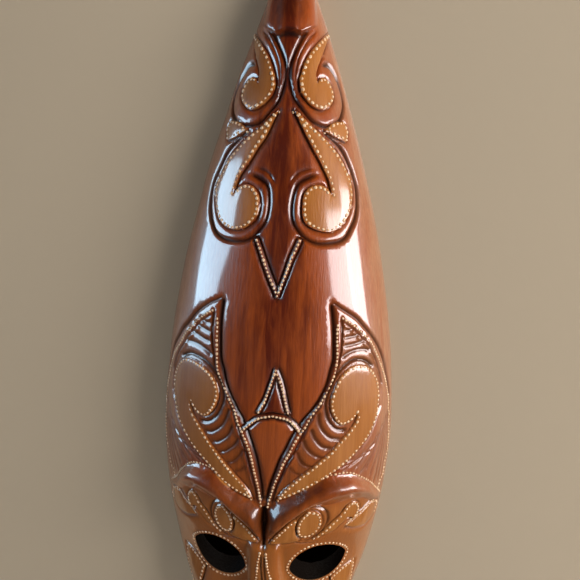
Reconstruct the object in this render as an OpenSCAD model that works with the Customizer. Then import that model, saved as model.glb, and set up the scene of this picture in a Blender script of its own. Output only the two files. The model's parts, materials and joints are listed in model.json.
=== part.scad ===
// Tall carved wooden wall mask with a hollowed back, hung by a ring on a screwed strap.
// The mask faces -Y and its back rim lies on the plane Y = 0. The origin is the point where
// the nail in the wall carries the ring, and +Z is up.

/* [Body] */
// Height of the tip above the hanging point
tip_z = 108; // [104:1:112]
// Depth of the widest place below the hanging point
wide_drop = 180; // [176:1:184]
// Depth of the chin below the hanging point
chin_drop = 402; // [396:1:408]
// Half of the width at the widest place
half_w = 75; // [72:1:78]
// Depth of the forehead in front of the wall
forehead_d = 48; // [46:1:50]
// Depth of the edge at the tip and at the chin
edge_d = 12; // [10:1:14]

/* [Hollow] */
// Thickness of the wood in front of the hollow
front_wall = 16; // [15:0.5:17]
// Thickness of the wood beside the hollow
side_wall = 11; // [9:0.5:13]

/* [Face] */
// Height of the brow lobes
brow_h = 5; // [4:0.5:6]
// Depth of the eye sockets
socket_d = 3; // [2:0.5:7]
// Half the length of an eye hole
eye_half_l = 18.5; // [17:0.5:19]
// Half the height of an eye hole
eye_half_h = 15; // [12:0.5:15.5]
// Height of the nose at its tip
nose_h = 20; // [16:1:22]
// Height of the lips
lip_h = 5; // [4:0.5:6]

/* [Hanger] */
// Radius of the ring's wire
wire_r = 1; // [0.9:0.05:1.1]
// Radius of the ring's bow, to the middle of the wire
bow_r = 11; // [10.5:0.25:11.5]
// Radial play of the ring in the strap
ring_play = 0.06; // [0.03:0.01:0.1]
// Thickness of the strap
strap_t = 1; // [0.9:0.05:1.1]
// Width of the strap
strap_w = 9; // [8:0.5:10]
// Length of the screw under its head
screw_l = 10; // [8:1:11]

/* [Hidden] */

wood_dark = [0.42, 0.17, 0.07];
steel = [0.72, 0.72, 0.7];
brass = [0.78, 0.62, 0.3];

wide_z = -wide_drop;
chin_z = -chin_drop;
end_gap = 1.2;              // the ends of the skin stop this short of a point
rows = 92;
columns = 30;
middle_share = 1.3;         // over 1, the columns stand closer together along the middle
hollow_rows = 36;
hollow_columns = 14;
hollow_top = 52;
hollow_bottom = -378;
past = 1;                   // cutters reach this far past the face that they cut

bar_z = wire_r - bow_r;     // the inside of the bow's top is the origin's height
eye_x = 32.5;
eye_z = -244.5;
eye_tilt = 10;
eye_corner_r = 3;
loop_r = wire_r + ring_play; // the strap's loop, inside
curl_r = loop_r + strap_t;   // the strap's loop, outside
seat_y = -23.5;             // the flat seat that the strap lies on
bar_y = seat_y + curl_r;
screw_z = bar_z - 17;
strap_end_z = screw_z - 6;
seat_w = 30;
seat_top = 8;
seat_bottom = strap_end_z - 3;
head_r = 2.8;
head_h = 1.8;
shank_r = 1.4;
pilot_r = 1.2;

// Share of the way from the widest place to the tip, and to the chin.
function up_share(z) = max(0, (z - wide_z) / (tip_z - wide_z));
function down_share(z) = max(0, (wide_z - z) / (wide_z - chin_z));

// Outline: a pointed arch above the widest place, a rounded one below it.
function outline(z) = z >= wide_z
    ? half_w * (1 - pow(up_share(z), 1.8))
    : half_w * pow(1 - pow(down_share(z), 1.8), 0.7);

function crest(z) = z >= wide_z
    ? edge_d + (forehead_d - edge_d) * (1 - pow(up_share(z), 2))
    : edge_d + (forehead_d - edge_d) * (1 - pow(down_share(z), 2.2));

function ease(a, b, v) = let (t = min(1, max(0, (v - a) / (b - a)))) t * t * (3 - 2 * t);
function bump(d, r) = exp(-pow(d / r, 2));
function mix(a, b, t) = a + (b - a) * min(1, max(0, t));

// Two brow lobes that meet in a V over the nose.
function brow_line(x) = -190 - 17 * pow((x - 40) / 40, 2);
function brow(x, z) = brow_h * bump(z - brow_line(x), 8.5) * ease(0, 6, x) * ease(74, 60, x);

// Sunk plane round each eye.
function socket(x, z) =
    let (r = norm([(x - eye_x) / 31, (z - eye_z) / 27]))
    -socket_d * ease(1.15, 0.75, r);

// Long nose: a narrow ridge with sloping sides that widens down to its tip and wings.
nose_top = -218;
nose_end = -303;
function nose(x, z) =
    let (t = (nose_top - z) / (nose_top - nose_end))
    mix(2, nose_h, t) * ease(mix(7, 21, t), mix(0, 3, t), x)
        * ease(nose_top + 6, nose_top - 4, z) * ease(nose_end - 5, nose_end + 4, z);
function nostril(x, z) = 6 * bump(norm([x - 14, z + 292]), 8);

// Closed lips: two ridges that meet at the corners of the mouth.
mouth_z = -337;
mouth_w = 25;
function lips(x, z) =
    let (w = sqrt(max(0, 1 - pow(x / mouth_w, 2))))
    lip_h * w * (bump(z - mouth_z - 5 * w, 4) + bump(z - mouth_z + 5 * w, 4));

function cheek(x, z) = 3 * bump(norm([(x - 38) / 20, (z + 292) / 26]), 1);
function chin(x, z) = 5 * bump(norm([x / 18, (z + 374) / 14]), 1);

function relief(x, z) =
    let (a = abs(x))
    brow(a, z) + socket(a, z) + nose(a, z) + nostril(a, z) + lips(a, z) + cheek(a, z) + chin(a, z);

// A point of the front skin: a turns from -90 at the left edge to 90 at the right one.
function skin(a, z) =
    let (x = outline(z) * sin(a), fade = ease(0, 0.5, cos(a)))
    [x, -crest(z) * cos(a) - relief(x, z) * fade, z];

// A point of the hollow, whose ends run out like a spoon's bowl.
function bowl(a, z) =
    let (n = (2 * z - hollow_top - hollow_bottom) / (hollow_top - hollow_bottom),
         end = 1 - pow(abs(n), 8))
    [max(2, outline(z) - side_wall) * sin(a), -(crest(z) - front_wall) * cos(a) * end, z];

// A closed solid between a skin of nr by nc points and a flat back.
module loft(points, nr, nc) {
    skin_faces = [for (i = [0:nr - 2], j = [0:nc - 2]) each
        [[i * nc + j, (i + 1) * nc + j, i * nc + j + 1],
         [(i + 1) * nc + j, (i + 1) * nc + j + 1, i * nc + j + 1]]];
    back_faces = [for (i = [0:nr - 2]) each
        [[i * nc, i * nc + nc - 1, (i + 1) * nc],
         [(i + 1) * nc, i * nc + nc - 1, (i + 1) * nc + nc - 1]]];
    low_end = [[for (j = [0:nc - 1]) j]];
    high_end = [[for (j = [nc - 1:-1:0]) (nr - 1) * nc + j]];
    polyhedron(points, concat(skin_faces, back_faces, low_end, high_end), convexity = 6);
}

module front() {
    low = chin_z + end_gap;
    high = tip_z - end_gap;
    loft([for (i = [0:rows], j = [0:columns])
             let (v = 2 * j / columns - 1)
             skin(90 * sign(v) * pow(abs(v), middle_share), low + (high - low) * i / rows)],
         rows + 1, columns + 1);
}

module hollow() {
    points = [for (i = [0:hollow_rows], j = [0:hollow_columns])
        let (z = hollow_bottom + (hollow_top - hollow_bottom) * i / hollow_rows,
             p = bowl(-90 + 180 * j / hollow_columns, z))
        j == 0 || j == hollow_columns ? [p[0], past, z] : [p[0], p[1] - 0.01, z]];
    loft(points, hollow_rows + 1, hollow_columns + 1);
}

// Almond that two arcs bound: half as long as l and half as high as h.
module almond(l, h) {
    r = (l * l + h * h) / (2 * h);
    intersection() {
        translate([0, h - r]) circle(r = r, $fn = 96);
        translate([0, r - h]) circle(r = r, $fn = 96);
    }
}

// Hole straight through the wood: an almond with round corners, higher at its outer end.
module eye_hole(side) {
    translate([side * eye_x, past, eye_z]) rotate([90, -side * eye_tilt, 0])
        linear_extrude(height = 80) offset(r = eye_corner_r, $fn = 32)
            almond(eye_half_l - eye_corner_r, eye_half_h - eye_corner_r);
}

// A gouged flute between two places on the skin, given as angle and height.
module flute(from, to, r = 1.6) {
    hull() {
        for (p = [from, to]) translate(skin(p[0], p[1])) sphere(r = r, $fn = 10);
    }
}

// The ribs inside each wing-shaped border on the forehead.
module flutes() {
    for (side = [-1, 1], i = [0:4]) {
        flute([side * (25 + i * 0.6), -86 - i * 6.5], [side * (29 + i * 4), -84 - i * 5]);
        flute([side * (22 - i * 3.4), -146 - i * 7.5], [side * (27 - i * 3.2), -151 - i * 7]);
    }
}

module hanger_seat() {
    translate([-seat_w / 2, seat_y, seat_bottom]) cube([seat_w, past - seat_y, seat_top - seat_bottom]);
}

module mask_body() {
    color(wood_dark) difference() {
        front();
        hollow();
        for (side = [-1, 1]) eye_hole(side);
        flutes();
        hanger_seat();
        translate([0, seat_y + past, screw_z]) rotate([90, 0, 0])
            cylinder(r = pilot_r, h = screw_l + past + 1, $fn = 24);
    }
}

// Sheet-metal strap: one end curls round the ring's bar, the other takes the screw.
module hanger_strap() {
    color(steel) difference() {
        union() {
            translate([-strap_w / 2, seat_y, screw_z])
                cube([strap_w, strap_t, bar_z - screw_z]);
            translate([0, seat_y + strap_t, screw_z]) rotate([90, 0, 0])
                cylinder(r = strap_w / 2, h = strap_t, $fn = 64);
            translate([-strap_w / 2, bar_y, bar_z]) rotate([0, 90, 0])
                cylinder(r = curl_r, h = strap_w, $fn = 48);
        }
        translate([-strap_w / 2 - past, bar_y, bar_z]) rotate([0, 90, 0])
            cylinder(r = loop_r, h = strap_w + 2 * past, $fn = 48);
        translate([0, seat_y + strap_t + past, screw_z]) rotate([90, 0, 0])
            cylinder(r = shank_r + 0.2, h = strap_t + 2 * past, $fn = 48);
    }
}

// D ring of round wire: a straight bar in the strap's loop and a half-round bow.
module hanger_ring() {
    color(brass) translate([0, bar_y, bar_z]) {
        rotate([90, 0, 0]) rotate_extrude(angle = 180, $fn = 96)
            translate([bow_r, 0]) circle(r = wire_r, $fn = 32);
        translate([-bow_r, 0, 0]) rotate([0, 90, 0]) cylinder(r = wire_r, h = 2 * bow_r, $fn = 32);
        for (side = [-1, 1]) translate([side * bow_r, 0, 0]) sphere(r = wire_r, $fn = 32);
    }
}

// Slotted round-head wood screw.
module hanger_screw() {
    head_y = seat_y + strap_t;
    dome_r = (head_r * head_r + head_h * head_h) / (2 * head_h);
    color(brass) translate([0, head_y, screw_z]) rotate([-90, 0, 0]) difference() {
        union() {
            intersection() {
                translate([0, 0, head_h - dome_r]) sphere(r = dome_r, $fn = 64);
                cylinder(r = head_r + past, h = head_h + past, $fn = 64);
            }
            translate([0, 0, 3 - screw_l]) cylinder(r = shank_r, h = screw_l - 3, $fn = 32);
            translate([0, 0, -screw_l]) cylinder(r1 = 0.3, r2 = shank_r, h = 3, $fn = 32);
        }
        translate([-head_r - past, -0.4, head_h - 0.9]) cube([2 * (head_r + past), 0.8, past + 1]);
    }
}

mask_body();
hanger_strap();
hanger_ring();
hanger_screw();
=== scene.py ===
import json
import math

import bmesh
import bpy
import numpy as np
from mathutils import Matrix, Vector
from mathutils.geometry import delaunay_2d_cdt

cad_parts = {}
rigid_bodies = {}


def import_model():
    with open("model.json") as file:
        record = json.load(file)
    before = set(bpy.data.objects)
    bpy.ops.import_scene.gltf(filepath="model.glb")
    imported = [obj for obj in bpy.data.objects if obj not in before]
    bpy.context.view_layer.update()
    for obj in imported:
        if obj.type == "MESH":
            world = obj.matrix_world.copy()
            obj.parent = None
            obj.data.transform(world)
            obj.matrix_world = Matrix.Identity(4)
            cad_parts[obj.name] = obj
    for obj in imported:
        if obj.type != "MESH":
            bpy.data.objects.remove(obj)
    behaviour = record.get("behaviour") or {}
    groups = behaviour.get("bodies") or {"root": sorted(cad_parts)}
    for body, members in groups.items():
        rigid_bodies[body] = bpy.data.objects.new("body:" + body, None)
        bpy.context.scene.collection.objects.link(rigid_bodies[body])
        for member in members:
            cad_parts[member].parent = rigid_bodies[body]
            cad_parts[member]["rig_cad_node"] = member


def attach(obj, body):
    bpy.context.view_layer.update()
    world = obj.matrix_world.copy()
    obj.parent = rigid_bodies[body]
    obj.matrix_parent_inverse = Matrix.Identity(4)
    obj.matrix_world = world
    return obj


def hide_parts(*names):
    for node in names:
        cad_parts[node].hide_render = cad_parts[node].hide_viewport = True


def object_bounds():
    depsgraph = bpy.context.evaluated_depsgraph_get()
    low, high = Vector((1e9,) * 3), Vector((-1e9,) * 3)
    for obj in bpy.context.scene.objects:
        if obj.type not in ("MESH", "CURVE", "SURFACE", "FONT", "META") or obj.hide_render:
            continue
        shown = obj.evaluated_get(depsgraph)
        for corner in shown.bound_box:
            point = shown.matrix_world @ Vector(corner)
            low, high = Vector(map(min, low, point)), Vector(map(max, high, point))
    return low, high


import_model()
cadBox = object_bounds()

millimetre = 0.001

# The mask is laid out in millimetres. A place on its front is (girth, z): girth runs round the
# surface from the centre line, positive to the right, and z is the height in the frame.


camera = {
    "place": (0.0185, -0.266, 0.0),
    "pitchDown": 16.0,
    "turnLeft": 3.0,
    "roll": 2.5,
    "lens": 27.93,
}


def addObject(name, data):
    made = bpy.data.objects.new(name, data)
    bpy.context.collection.objects.link(made)
    return made


def makeCamera():
    pitch, turn, roll = (math.radians(camera[k]) for k in ("pitchDown", "turnLeft", "roll"))
    ahead = Vector((-math.sin(turn) * math.cos(pitch), math.cos(turn) * math.cos(pitch), -math.sin(pitch)))
    level = ahead.cross(Vector((0, 0, 1))).normalized()
    upright = level.cross(ahead)
    right = math.cos(roll) * level + math.sin(roll) * upright
    up = math.cos(roll) * upright - math.sin(roll) * level
    data = bpy.data.cameras.new("camera")
    data.sensor_width = 36
    data.lens = camera["lens"]
    data.clip_start = 0.01
    cameraObject = addObject("camera", data)
    facing = Matrix((right, up, -ahead)).transposed().to_4x4()
    cameraObject.matrix_world = Matrix.Translation(camera["place"]) @ facing
    bpy.context.scene.camera = cameraObject


makeCamera()
print("camera placed")


block = {
    "tip": 108.0,
    "widest": -180.0,
    "chin": -402.0,
    "endGap": 1.2,
    "halfWidth": 75.0,
    "forehead": 48.0,
    "edge": 12.0,
    "sideBend": 1.8,
    "chinRound": 0.7,
    "upperCrest": 2,
    "lowerCrest": 2.2,
}


def ease(low, high, value):
    share = np.clip((value - low) / (high - low), 0, 1)
    return share * share * (3 - 2 * share)


def bump(distance, radius):
    return np.exp(-(distance / radius) ** 2)


# One row for each point, from its coordinates given in separate arrays.
def rowsOf(*parts):
    return np.stack(parts, axis=1)


def joinEnds(loop):
    return np.vstack([loop, loop[:1]])


def shares(z):
    up = np.clip((z - block["widest"]) / (block["tip"] - block["widest"]), 0, 1)
    down = np.clip((block["widest"] - z) / (block["widest"] - block["chin"]), 0, 1)
    return up, down


def outline(z):
    up, down = shares(z)
    upper, lower = 1 - up ** block["sideBend"], (1 - down ** block["sideBend"]) ** block["chinRound"]
    return block["halfWidth"] * np.where(z >= block["widest"], upper, lower)


def crest(z):
    up, down = shares(z)
    rise = block["forehead"] - block["edge"]
    upper, lower = 1 - up ** block["upperCrest"], 1 - down ** block["lowerCrest"]
    return block["edge"] + rise * np.where(z >= block["widest"], upper, lower)


turns = np.linspace(0, math.pi / 2, 65)


# Arc length round the half-ellipse at each z, one column for each turn.
def girthTable(z):
    speed = np.hypot(np.cos(turns) * outline(z)[:, None], np.sin(turns) * crest(z)[:, None])
    steps = (speed[:, 1:] + speed[:, :-1]) / 2 * turns[1]
    return np.concatenate([np.zeros((len(z), 1)), np.cumsum(steps, axis=1)], axis=1)


def halfGirth(z):
    return girthTable(z)[:, -1]


def blockPoint(girth, z):
    table = girthTable(z)
    reach = np.minimum(np.abs(girth), table[:, -1])
    column = np.clip((table < reach[:, None]).sum(axis=1), 1, len(turns) - 1)
    rows = np.arange(len(z))
    low, high = table[rows, column - 1], table[rows, column]
    turn = np.sign(girth) * (turns[column - 1] + (reach - low) / (high - low) * turns[1])
    return rowsOf(outline(z) * np.sin(turn), -crest(z) * np.cos(turn), z)


# Girth of the places on the block's front that lie at x and z.
def girthOf(x, z):
    turn = np.arcsin(np.clip(np.abs(x) / outline(z), 0, 1))
    table = girthTable(z)
    column = turn / turns[1]
    low = np.minimum(column.astype(int), len(turns) - 2)
    rows = np.arange(len(z))
    part = column - low
    return np.sign(x) * (table[rows, low] * (1 - part) + table[rows, low + 1] * part)


def blockNormal(girth, z):
    step = 0.2
    across = blockPoint(girth + step, z) - blockPoint(girth - step, z)
    along = blockPoint(girth, z + step) - blockPoint(girth, z - step)
    normal = np.cross(across, along)
    return normal / np.maximum(np.linalg.norm(normal, axis=1), 1e-9)[:, None]


# How far along the line each of its points is.
def runOf(line):
    return np.concatenate([[0], np.cumsum(np.linalg.norm(np.diff(line, axis=0), axis=1))])


def placesAlong(line, distances):
    return rowsOf(*(np.interp(distances, runOf(line), column) for column in line.T))


# A smooth line through the points, cut into equal steps.
def smoothLine(points, step):
    p = np.array(points, float)
    if len(p) > 2:
        chord = np.linalg.norm(np.diff(p, axis=0), axis=1)
        slope = np.diff(p, axis=0) / chord[:, None]
        tangent = np.empty_like(p)
        before, after = chord[:-1, None], chord[1:, None]
        tangent[1:-1] = (slope[:-1] * after + slope[1:] * before) / (before + after)
        tangent[0] = 1.5 * slope[0] - 0.5 * tangent[1]
        tangent[-1] = 1.5 * slope[-1] - 0.5 * tangent[-2]
        dense = []
        for i, length in enumerate(chord):
            t = np.linspace(0, 1, 24, endpoint=False)[:, None]
            dense.append(
                (2 * t ** 3 - 3 * t ** 2 + 1) * p[i]
                + (t ** 3 - 2 * t ** 2 + t) * length * tangent[i]
                + (3 * t ** 2 - 2 * t ** 3) * p[i + 1]
                + (t ** 3 - t ** 2) * length * tangent[i + 1]
            )
        p = np.concatenate(dense + [p[-1:]])
    total = runOf(p)[-1]
    return placesAlong(p, np.linspace(0, total, max(2, int(round(total / step)) + 1)))


# Unit vectors that point to the left of the line's run.
def leftOf(line):
    run = np.gradient(line, axis=0)
    run /= np.maximum(np.linalg.norm(run, axis=1), 1e-9)[:, None]
    return rowsOf(-run[:, 1], run[:, 0])


# The numbers of the points that lie between the two corners, some thousands at a time.
def pointsBetween(points, low, high, batch=4000):
    near = np.flatnonzero(np.all((points > low) & (points < high), axis=1))
    return np.array_split(near, max(1, len(near) // batch))


# For each point: distance to the line, the way out from it, and how far along it the place lies.
def nearest(points, line, reach):
    found = np.full(len(points), float(reach))
    way, along = np.zeros((len(points), 2)), np.zeros(len(points))
    start, span = line[:-1], np.diff(line, axis=0)
    length = np.maximum(np.linalg.norm(span, axis=1), 1e-6)
    run = np.concatenate([[0], np.cumsum(length)])
    for part in pointsBetween(points, line.min(axis=0) - reach, line.max(axis=0) + reach):
        gap = points[part][:, None, :] - start
        share = np.clip((gap * span).sum(axis=2) / length ** 2, 0, 1)
        gap -= share[:, :, None] * span
        distance = np.sqrt((gap ** 2).sum(axis=2))
        rows, best = np.arange(len(part)), distance.argmin(axis=1)
        found[part] = np.minimum(reach, distance[rows, best])
        way[part] = gap[rows, best] / np.maximum(distance[rows, best], 1e-6)[:, None]
        along[part] = run[best] + share[rows, best] * length[best]
    return found, way, along


def distanceTo(points, line, reach):
    return nearest(points, line, reach)[0]


def isInside(points, loop):
    start, end = loop, np.roll(loop, -1, axis=0)
    inside = np.zeros(len(points), bool)
    for part in pointsBetween(points, loop.min(axis=0), loop.max(axis=0)):
        x, y = points[part, 0][:, None], points[part, 1][:, None]
        crosses = (start[:, 1] > y) != (end[:, 1] > y)
        rise = np.where(end[:, 1] == start[:, 1], 1e-9, end[:, 1] - start[:, 1])
        crossing = start[:, 0] + (end[:, 0] - start[:, 0]) * (y - start[:, 1]) / rise
        inside[part] = (crosses & (x < crossing)).sum(axis=1) % 2 == 1
    return inside


# The right half of the pattern; the left half mirrors it. Each honey-coloured scroll is a closed
# outline made of smooth runs that meet at its tip and at the notch under its curl.

scrolls = {
    "topScroll": [
        [(28, 64), (18, 58), (12, 52), (9, 47), (7, 42), (6, 38), (7, 33), (10, 29), (14, 26), (19, 25),
         (23, 27), (26, 31), (25, 36), (21, 40), (18, 40), (16, 37)],
        [(16, 37), (15, 41), (17, 48), (21, 55), (26, 61)],
        [(26, 61), (28, 64)],
    ],
    "middleScroll": [
        [(4, 24), (11, 18), (20, 11), (28, 4), (34, -4), (38, -11), (39, -16), (38, -23), (34, -31),
         (27, -35), (19, -34), (13, -30), (11, -22), (12, -16), (17, -12), (22, -13), (26, -17)],
        [(26, -17), (24, -10), (20, -3), (14, 6), (9, 14), (4, 24)],
    ],
    "bigScroll": [
        [(51, -137), (46, -142), (40, -143), (35, -138), (32, -130), (33, -122), (37, -115), (43, -111),
         (50, -110), (57, -112), (63, -118), (67, -128), (67, -138), (64, -148), (56, -159), (46, -168),
         (36, -175), (28, -181), (18, -187), (7, -192)],
        [(7, -192), (10, -186), (18, -177), (27, -168), (35, -160), (43, -151), (50, -142), (51, -137)],
    ],
    "sideLoop": [
        [(20, 15), (26, 19), (33, 20)],
        [(33, 20), (36, 15), (34, 10)],
        [(34, 10), (27, 12), (20, 15)],
    ],
    "lidBand": [
        [(4, -223), (10, -214), (16, -208), (20, -205)],
        [(20, -205), (19, -209), (19, -216), (22, -222)],
        [(22, -222), (13, -224), (4, -223)],
    ],
    "lidRing": [
        [(27, -200), (32, -202), (34, -208), (32, -215), (27, -220), (22, -219), (20, -213), (22, -205),
         (27, -200)],
    ],
    "lidWave": [
        [(30, -222), (35, -216), (40, -210), (46, -204)],
        [(46, -204), (49, -200), (53, -198), (57, -201), (58, -207), (54, -212)],
        [(54, -212), (51, -209), (46, -212), (39, -218), (30, -222)],
    ],
    "lidEnd": [
        [(50, -216), (56, -212), (63, -209), (70, -205)],
        [(70, -205), (75, -207), (77, -213), (75, -220)],
        [(75, -220), (67, -222), (58, -220), (50, -216)],
    ],
    "cheekScroll": [
        [(64, -254), (62, -270), (57, -287), (50, -302), (42, -311), (33, -312), (27, -306), (25, -297),
         (28, -289), (34, -286), (39, -289), (40, -295)],
        [(40, -295), (44, -287), (46, -277), (45, -268), (44, -261)],
        [(44, -261), (52, -256), (64, -254)],
    ],
}
undotted = {("topScroll", 1), ("topScroll", 2), ("lidBand", 2), ("lidBand", 1), ("lidWave", 2), ("lidEnd", 0),
            ("lidEnd", 2)}

browTop = [(0, -200), (5, -196), (10, -193), (18, -188), (24, -183), (32, -178), (40, -177), (48, -178),
           (55, -182), (62, -187), (70, -197), (80, -206), (100, -218)]
browFoot = [(0, -225), (8, -213), (16, -205), (23, -199), (28, -196), (34, -196), (42, -196), (50, -195),
            (60, -198), (70, -206), (80, -215), (100, -226)]


# The brow roll's upper and lower edge at each distance from the centre line.
def browEdges(a):
    return [np.interp(a, *np.array(edge, float).T) for edge in (browTop, browFoot)]


# A V-shaped cut along a line: its run, its half width and its depth.
cuts = [
    ([(9, 61), (6, 56), (3, 50), (1, 44), (1, 39), (2, 34), (4, 29), (8, 24), (13, 19), (19, 17), (26, 18),
      (31, 22), (34, 29), (32, 37), (28, 43), (22, 47), (18, 46)], 1.0, 1.6),
    ([(15, 62), (10, 57), (6, 50), (4, 43), (4, 35), (6, 29)], 0.6, 0.7),
    ([(17, -7), (12, -9), (8, -12), (6, -18), (6, -25), (8, -32), (13, -38), (20, -41), (28, -41), (36, -38),
      (41, -30), (43, -20), (42, -13), (40, -8), (36, -1), (31, 6), (25, 11), (18, 15)], 1.0, 1.6),
    ([(14, -4), (8, -6), (4, -11)], 0.7, 0.7),
    ([(30, -71), (31, -79), (32, -86), (32, -98), (32, -105), (30, -112), (28, -119), (25, -126), (21, -133),
      (17, -139), (12, -149), (7, -163), (3, -178), (1, -194)], 1.3, 2.1),
    ([(36, -79), (37, -86), (37, -98), (36, -104), (35, -110), (33, -116), (30, -122), (27, -128), (23, -135),
      (20, -142), (16, -154), (11, -167), (7, -181), (4, -195)], 0.9, 1.3),
    ([(30, -71), (35, -74), (40, -77), (46, -81), (51, -86), (57, -92), (63, -99), (68, -106), (72, -113),
      (76, -121), (80, -130), (83, -138)], 0.9, 1.2),
    ([(37, -82), (44, -87), (50, -93), (55, -98), (59, -104), (63, -110), (67, -118), (70, -126)], 0.7, 0.8),
    ([(0, -196), (1, -206), (0, -216), (0, -228)], 1.4, 2.8),
    ([(16, -223), (18, -216), (18, -208), (22, -201), (28, -197), (34, -199), (37, -206), (35, -215),
      (30, -222), (23, -224)], 0.8, 1.1),
    ([(49, -213), (55, -209), (62, -206), (69, -202)], 0.7, 0.9),
    ([(16, -222), (24, -226), (32, -226)], 0.6, 0.7),
    ([(1, -230), (1, -252), (3, -290)], 0.8, 1.1),
    ([(0, -337), (12, -337), (25, -336)], 1.0, 1.6),
    ([(37, -87), (42, -87), (46, -86)], 1.3, 1.0),
    ([(37, -92), (44, -91), (50, -90)], 1.3, 1.1),
    ([(37, -97), (46, -96), (54, -94)], 1.4, 1.1),
    ([(36, -105), (41, -102), (49, -100), (58, -102)], 1.4, 1.2),
    ([(61, -113), (52, -107), (44, -107), (36, -112), (31, -120), (29, -130), (32, -140), (38, -146),
      (45, -147)], 1.3, 1.5),
    ([(42, -152), (36, -152), (30, -147), (26, -139), (25, -133)], 1.4, 1.3),
    ([(37, -158), (31, -157), (25, -151), (22, -143)], 1.4, 1.3),
    ([(32, -164), (26, -162), (21, -157), (18, -150)], 1.4, 1.2),
    ([(27, -170), (21, -168), (17, -163), (15, -157)], 1.3, 1.1),
    ([(21, -175), (16, -173), (12, -168)], 1.2, 0.9),
]

# Fine hair lines fan out beside the big scroll's stem, from the border down to the brow.
hairLines = {"count": 12, "width": 0.8, "depth": 0.5, "aboveBrow": 2.5}
for i in range(hairLines["count"]):
    start = (83 - 1.9 * i, -140 - 2.5 * i + 3 * (i % 2))
    footAt = 80 - 4.2 * i
    foot = (footAt, browEdges(footAt)[0] + hairLines["aboveBrow"] + 2 * (i % 3))
    middle = ((start[0] + foot[0]) / 2 + 1.5, (start[1] + foot[1]) / 2)
    cuts.append(([start, middle, foot], hairLines["width"], hairLines["depth"]))

# A rope border: a dotted ridge between two cuts. Its run, half its width and its depth.
borders = {
    "spear": ([(11, -40), (6, -53), (0, -68)], 1.7, 1.6),
    "arrow": ([(0, -109), (8, -134)], 1.6, 1.4),
    "arch": ([(0, -136), (8, -138), (15, -145)], 1.6, 1.5),
}

# Dots that stand in rows of their own: the run, and the distance between them.
dotRuns = [
    ([(34, -84), (34, -98), (34, -105), (33, -112), (31, -118), (28, -124), (25, -130), (22, -135),
      (19, -142), (14, -152), (9, -166), (5, -180), (2, -196)], 2.3),
    ([(37, -80), (42, -83), (47, -87), (52, -92), (57, -97), (61, -103), (65, -109), (69, -115), (73, -122),
      (76, -129), (80, -139), (82, -148), (84, -160), (84, -174)], 2.1),
    ([(32, -177), (40, -175), (48, -176), (55, -180), (63, -186), (71, -195), (79, -204)], 2.4),
    ([(84, -176), (80, -189), (74, -197)], 2.1),
    ([(50, -215), (56, -211), (63, -208), (70, -204)], 1.3),
    ([(2, -229), (3, -238), (5, -252), (7, -272), (9, -292)], 2.2),
    ([(30, -337), (22, -327), (10, -322), (0, -324)], 2.1),
    ([(30, -337), (20, -349), (9, -354), (0, -354)], 2.1),
    ([(0, -362), (7, -374), (12, -388)], 2.1),
]

archField = [(0, -138), (8, -140), (14, -147), (11, -158), (8, -170), (5, -182), (0, -194)]
leafBed = [(37, -83), (44, -88), (50, -94), (55, -99), (59, -105), (63, -111), (67, -119), (70, -127),
           (71, -138), (62, -152), (46, -168), (28, -182), (12, -190), (5, -190), (9, -177), (14, -163),
           (20, -147), (26, -131), (32, -119), (36, -106), (38, -94)]

lineStep = 0.9


def closedLoop(runs):
    return np.concatenate([smoothLine(run, lineStep)[:-1] for run in runs])


scrollLoops = {name: closedLoop(runs) for name, runs in scrolls.items()}
cutLines = [(smoothLine(points, lineStep), width, depth) for points, width, depth in cuts]
borderLines = [(smoothLine(points, lineStep), half, depth) for points, half, depth in borders.values()]
bedLoop = np.array(leafBed, float)
fieldLoop = np.array(archField + [(-a, z) for a, z in archField[-2:0:-1]], float)


# How far the hand-cut lines stray from a mirrored pattern, in millimetres.
stray = {
    "slow": 0.5,
    "medium": 0.4,
    "fine": 0.15,
    "leaves": 2.2,
    "leftBrow": 5.0,
    "archMiddle": 1.2,
    "noseMiddle": 2.6,
}


def wobble(girth, z):
    slow, medium, fine = stray["slow"], stray["medium"], stray["fine"]
    across = slow * np.sin(z / 17 + 1.3) + medium * np.sin((girth + z) / 23)
    across = across + fine * np.sin(z / 3.1 + girth / 4)
    upward = slow * np.sin(girth / 15 + 0.4) + medium * np.sin((girth - z) / 27)
    upward = upward + fine * np.sin(girth / 2.7 + z / 5)
    leaf = bump(np.hypot(np.abs(girth) - 46, z + 110), 16)
    upward = upward + stray["leaves"] * np.sign(girth) * leaf
    near = ease(0, 6, np.abs(girth))
    across = across + stray["leftBrow"] * bump(z + 195, 20) * ease(-44, -64, girth)
    middle = stray["archMiddle"] * bump(z + 118, 20)
    middle = middle - stray["noseMiddle"] * ease(-150, -196, z) * ease(-262, -235, z)
    return across * near + middle * ease(45, 20, np.abs(girth)), upward * near


def patternPlace(girth, z):
    across, upward = wobble(girth, z)
    return rowsOf(np.abs(girth - across), z - upward)


# Where a point of the pattern lies on the mask's left (-1) or right (1) half.
def carvedPlace(points, side):
    girth, z = side * points[:, 0], points[:, 1].copy()
    for _ in range(4):
        across, upward = wobble(girth, z)
        girth, z = side * points[:, 0] + across, points[:, 1] + upward
    return rowsOf(girth, z)


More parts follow.
